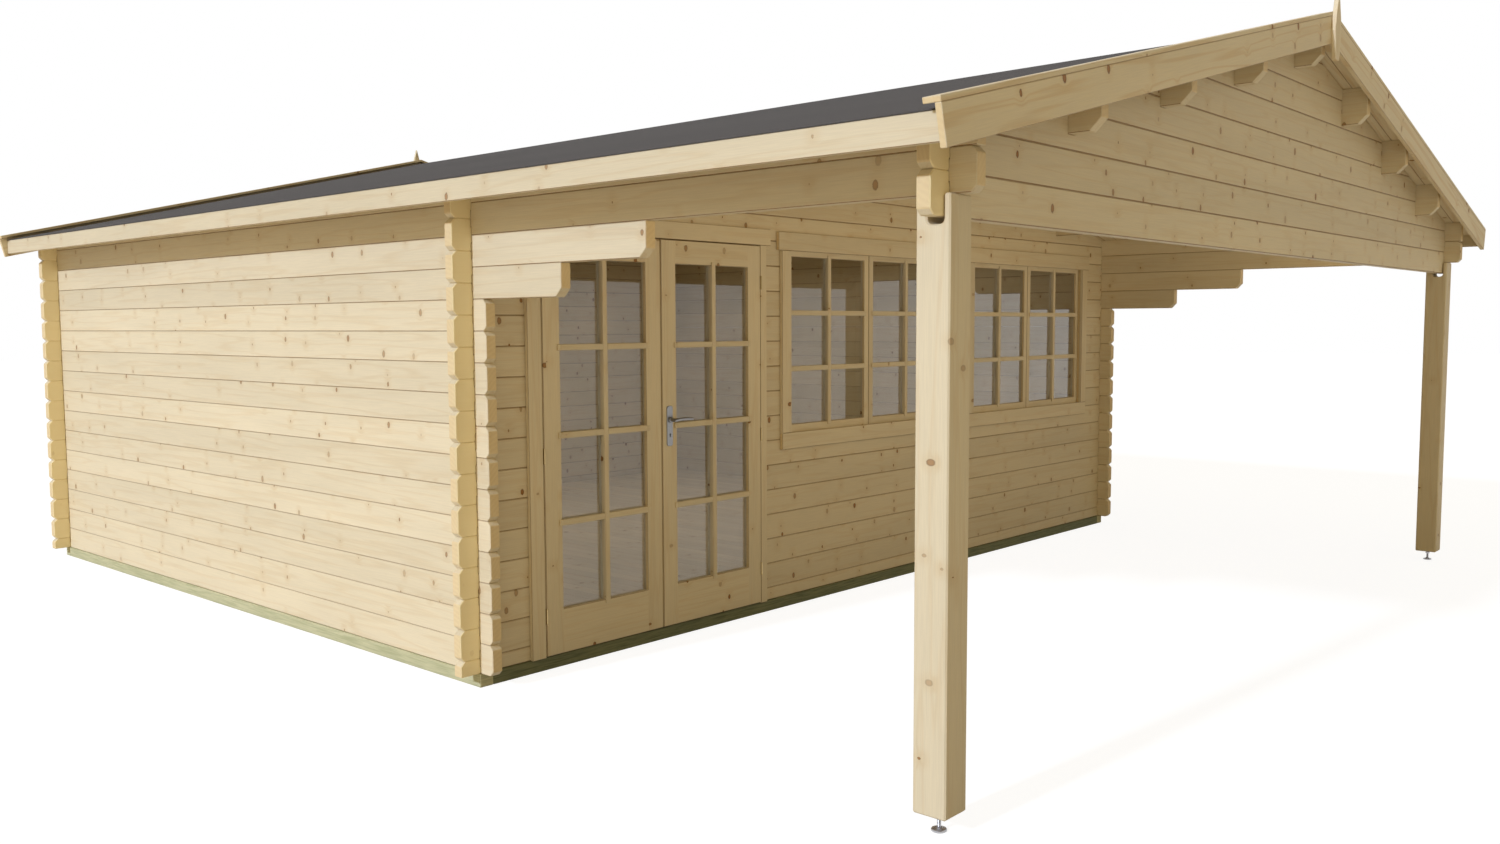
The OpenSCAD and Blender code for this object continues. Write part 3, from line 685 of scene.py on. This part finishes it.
# Lever handle on a long plate
def handle():
    low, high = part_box("door_handle")
    x, z, face = low.x + PLATE_HALF, low.z + LEVER_UP, high.y
    mesh = bmesh.new()
    outline = []
    corner = PLATE_CORNER
    left, right = x - PLATE_HALF + corner, x + PLATE_HALF - corner
    bottom, top = low.z + corner, high.z - corner
    for cx, cz, start in ((right, top, 0), (left, top, 90), (left, bottom, 180), (right, bottom, 270)):
        for step in range(7):
            a = math.radians(start + step * 15)
            outline.append((cx + corner * math.cos(a), cz + corner * math.sin(a)))
    back = [mesh.verts.new((px, face, pz)) for px, pz in outline]
    shoulder = [mesh.verts.new((px, face - PLATE_SHOULDER, pz)) for px, pz in outline]
    middle = z - PLATE_MIDDLE_DOWN
    inner = [mesh.verts.new((x + (px - x) * 0.93, face - PLATE_THICK, middle + (pz - middle) * 0.985))
             for px, pz in outline]
    for a, b in ((back, shoulder), (shoulder, inner)):
        for i in range(len(outline)):
            j = (i + 1) % len(outline)
            mesh.faces.new((a[i], a[j], b[j], b[i]))
    mesh.faces.new(back[::-1])
    mesh.faces.new(inner)
    outwards = Matrix.Rotation(math.radians(90), 4, "X")
    collar = bmesh.new()
    lathe(collar, ((0.0135, 0.0), (0.0135, 0.006), (0.0115, 0.009), (0.0085, 0.010), (0.0085, 0.038)),
          (0, 0, 0))
    turn = Matrix.Translation((x, face - PLATE_THICK, z)) @ outwards
    bmesh.ops.transform(collar, matrix=turn, verts=collar.verts)
    join(mesh, collar)
    sweep_lever(mesh, x, face - LEVER_OUT, z, high.x)
    piece = add_piece("door_lever", mesh, "right_leaf", steel, ["door_handle"])
    piece.data.shade_smooth()
    piece.modifiers.new("split", "EDGE_SPLIT").split_angle = math.radians(35)
    key = bmesh.new()
    lathe(key, ((0.0045, 0.0), (0.0045, KEY_DEEP)), (0, 0, 0), 20)
    add_box(key, (-0.002, -0.013, 0.0), (0.002, -0.003, KEY_DEEP))
    turn = Matrix.Translation((x, face - KEY_OUT, z - KEY_DOWN)) @ outwards
    bmesh.ops.transform(key, matrix=turn, verts=key.verts)
    add_piece("keyhole", key, "right_leaf", dark_hole())


def join(mesh, other):
    """Adds other's faces to mesh."""
    data = bpy.data.meshes.new("joined")
    other.to_mesh(data)
    other.free()
    mesh.from_mesh(data)
    bpy.data.meshes.remove(data)


def sweep_lever(mesh, x, y, z, tip):
    """Rounded lever from the neck at x to its tip, a little bowed and thinner to the end."""
    rings, sides, steps = [], 16, 14
    for i in range(steps + 1):
        t = i / steps
        px = x - LEVER_BACK + (tip - x + LEVER_BACK) * t
        thick = LEVER_THICK - LEVER_TAPER * t
        if i in (0, steps):
            thick *= LEVER_TIP
        middle = z + LEVER_BOW * math.sin(math.pi * t)
        ring = []
        for k in range(sides):
            a = 2 * math.pi * k / sides
            py = y + thick * LEVER_FLAT * math.cos(a)
            ring.append(mesh.verts.new((px, py, middle + thick * math.sin(a))))
        rings.append(ring)
    for a, b in zip(rings, rings[1:]):
        for k in range(sides):
            j = (k + 1) % sides
            mesh.faces.new((a[k], a[j], b[j], b[k]))
    mesh.faces.new(rings[0][::-1])
    mesh.faces.new(rings[-1])


handle()


# Screw feet of the posts
def post_feet():
    low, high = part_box("post_feet")
    plate = (high.y - low.y) / 2
    mesh = bmesh.new()
    thread = [(0.0070 if i % 2 else 0.0058, 0.014 + i * 0.0022) for i in range(13)]
    profile = [(plate - 0.002, 0.0), (plate, 0.002), (plate, 0.006), (plate - 0.002, 0.008),
               (0.014, 0.011), (0.010, 0.013), *thread, (0.012, 0.043), (0.012, 0.051),
               (0.007, 0.0515), (0.007, 0.0545), (0.019, 0.055), (0.019, high.z)]
    for x in (low.x + plate, high.x - plate):
        lathe(mesh, profile, (x, (low.y + high.y) / 2, low.z))
    add_piece("screw_feet", mesh, "root", bright_zinc, ["post_feet"])


post_feet()


# Floor, sky and lights
FLOOR_HALF = 60
FLOOR_DROP = 0.0005
FLOOR_GLOW = 1.20
FLOOR_GLOW_SHARE = 0.75
BOUNCE = (0.86, 0.79, 0.66, 1.0)
BOUNCE_PAINTED_SHADE_UNDER_ROOF = (0.30, 0.26, 0.20, 1.0)
UNDER_ROOF_X = (3.3, 2.7)
UNDER_ROOF_Y = (4.2, 3.4)
AMBIENT = (1.0, 0.81, 0.46, 1.0)
AMBIENT_STRENGTH = 0.40
AMBIENT_LEAN = 0.60
SUN_COLOUR = (0.91, 1.03, 1.27)
SUN_STRENGTH = 1.88
SUN_FROM = Vector((-1.0, 0.08, 0.455))
SUN_ANGLE = math.radians(3)
ROOM_COLOUR = (1.0, 0.90, 0.74)
ROOM_POWER = 17.0
ROOM_SIZE = (5.0, 3.8)
ROOM_LAMP_Z = 2.1
CANOPY_COLOUR = (1.0, 0.84, 0.56)
CANOPY_POWER = 14.0
CANOPY_SIZE = (5.4, 0.3)
CANOPY_LAMP_Z = 1.9
CANOPY_LAMP_BEHIND = 0.12
CANOPY_TOWARDS = Vector((0.0, 1.0, 0.06))


def studio_floor():
    """White floor that keeps the shadows and throws back a duller light than the camera sees."""
    mesh = bmesh.new()
    bmesh.ops.create_grid(mesh, x_segments=1, y_segments=1, size=FLOOR_HALF)
    data = bpy.data.meshes.new("floor")
    mesh.to_mesh(data)
    mesh.free()
    floor = bpy.data.objects.new("floor", data)
    floor.location.z = -FLOOR_DROP
    bpy.context.scene.collection.objects.link(floor)
    g = Graph("floor")
    seen = seen_directly(g)
    # Painted shade on the floor: under the roof the colour that bounce rays see is darker, standing in for
    # the canopy's shade
    x, y, z = g.split(g.node("NewGeometry").outputs["Position"])
    wide = g.range(g.math("ABSOLUTE", x), *UNDER_ROOF_X)
    deep = g.range(g.math("ABSOLUTE", y), *UNDER_ROOF_Y)
    pale = g.node("BsdfDiffuse")
    g.feed(pale.inputs["Color"], g.mix(g.math("MULTIPLY", wide, deep), BOUNCE, BOUNCE_PAINTED_SHADE_UNDER_ROOF))
    white = g.node("Emission")
    white.inputs["Strength"].default_value = FLOOR_GLOW
    shadowed = g.node("MixShader")
    shadowed.inputs[0].default_value = FLOOR_GLOW_SHARE
    lit = g.node("BsdfDiffuse")
    lit.inputs["Color"].default_value = (1.0, 1.0, 1.0, 1.0)
    g.feed(shadowed.inputs[1], lit.outputs[0])
    g.feed(shadowed.inputs[2], white.outputs[0])
    both = g.node("MixShader")
    g.feed(both.inputs[0], seen)
    g.feed(both.inputs[1], pale.outputs[0])
    g.feed(both.inputs[2], shadowed.outputs[0])
    g.feed(g.output.inputs["Surface"], both.outputs[0])
    data.materials.append(g.material)


def seen_directly(g):
    """1 for rays that show the background itself: from the camera, in gloss and through glass."""
    path = g.node("LightPath")
    gloss = g.math("MAXIMUM", path.outputs["Is Glossy Ray"], path.outputs["Is Transmission Ray"])
    return g.math("MAXIMUM", path.outputs["Is Camera Ray"], gloss)


def world():
    """Warm sky, brighter on the sun's side; the camera, gloss and glass see plain white."""
    made = bpy.data.worlds.new("studio")
    bpy.context.scene.world = made
    made.use_nodes = True
    tree = made.node_tree
    path = tree.nodes.new("ShaderNodeLightPath")
    seen = path.outputs["Is Camera Ray"]
    for other in ("Is Glossy Ray", "Is Transmission Ray"):
        larger = tree.nodes.new("ShaderNodeMath")
        larger.operation = "MAXIMUM"
        tree.links.new(seen, larger.inputs[0])
        tree.links.new(path.outputs[other], larger.inputs[1])
        seen = larger.outputs[0]
    light = tree.nodes["Background"]
    light.inputs["Color"].default_value = AMBIENT
    towards = tree.nodes.new("ShaderNodeSeparateXYZ")
    tree.links.new(tree.nodes.new("ShaderNodeTexCoord").outputs["Generated"], towards.inputs[0])
    lean = tree.nodes.new("ShaderNodeMath")
    lean.operation = "MULTIPLY_ADD"
    lean.inputs[1].default_value = -AMBIENT_LEAN * AMBIENT_STRENGTH
    lean.inputs[2].default_value = AMBIENT_STRENGTH
    tree.links.new(towards.outputs["X"], lean.inputs[0])
    tree.links.new(lean.outputs[0], light.inputs["Strength"])
    white = tree.nodes.new("ShaderNodeBackground")
    white.inputs["Color"].default_value = (1.0, 1.0, 1.0, 1.0)
    both = tree.nodes.new("ShaderNodeMixShader")
    tree.links.new(seen, both.inputs[0])
    tree.links.new(light.outputs[0], both.inputs[1])
    tree.links.new(white.outputs[0], both.inputs[2])
    tree.links.new(both.outputs[0], tree.nodes["World Output"].inputs["Surface"])


def sun():
    data = bpy.data.lights.new("sun", "SUN")
    data.energy = SUN_STRENGTH
    data.color = SUN_COLOUR
    data.angle = SUN_ANGLE
    lamp = bpy.data.objects.new("sun", data)
    lamp.rotation_euler = SUN_FROM.to_track_quat("Z", "Y").to_euler()
    bpy.context.scene.collection.objects.link(lamp)


def area_lamp(name, at, towards, size, power, colour):
    """Soft rectangular lamp that no ray sees directly."""
    data = bpy.data.lights.new(name, "AREA")
    data.shape = "RECTANGLE"
    data.size, data.size_y = size
    data.energy = power
    data.color = colour
    lamp = bpy.data.objects.new(name, data)
    lamp.location = at
    lamp.rotation_euler = (Vector(at) - Vector(towards)).to_track_quat("Z", "Y").to_euler()
    lamp.visible_camera = False
    lamp.visible_glossy = False
    lamp.visible_transmission = False
    bpy.context.scene.collection.objects.link(lamp)


def room_light():
    """Daylight from the unseen openings, as one soft lamp under the ceiling."""
    low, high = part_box("floor_deck")
    middle = (low + high) / 2
    at = (middle.x, middle.y, ROOM_LAMP_Z)
    area_lamp("room_light", at, (middle.x, middle.y, 0.0), ROOM_SIZE, ROOM_POWER, ROOM_COLOUR)


def canopy_light():
    """Light thrown back from the ground, as a soft strip behind the tie log."""
    at = Vector((0.0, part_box("canopy_gable")[1].y + CANOPY_LAMP_BEHIND, CANOPY_LAMP_Z))
    area_lamp("canopy_light", at, at + CANOPY_TOWARDS, CANOPY_SIZE, CANOPY_POWER, CANOPY_COLOUR)


def photo_camera():
    """Camera at the photograph's place."""
    forward = Vector((math.sin(CAMERA_YAW) * math.cos(CAMERA_DOWN),
                      math.cos(CAMERA_YAW) * math.cos(CAMERA_DOWN), -math.sin(CAMERA_DOWN)))
    right = Vector((math.cos(CAMERA_YAW), -math.sin(CAMERA_YAW), 0.0))
    down = forward.cross(right)
    level = math.cos(CAMERA_ROLL) * right + math.sin(CAMERA_ROLL) * down
    plumb = math.cos(CAMERA_ROLL) * down - math.sin(CAMERA_ROLL) * right
    data = bpy.data.cameras.new("photo_camera")
    data.sensor_width = SENSOR_MM
    data.lens = SENSOR_MM * FOCAL_PIXELS / IMAGE_WIDTH
    data.clip_end = 200
    camera = bpy.data.objects.new("photo_camera", data)
    axes = Matrix((level, -plumb, -forward)).transposed()
    camera.matrix_world = Matrix.Translation(CAMERA_AT) @ axes.to_4x4()
    bpy.context.scene.collection.objects.link(camera)
    bpy.context.scene.camera = camera


studio_floor()
world()
sun()
room_light()
canopy_light()
photo_camera()
bpy.context.scene.view_settings.view_transform = "Standard"
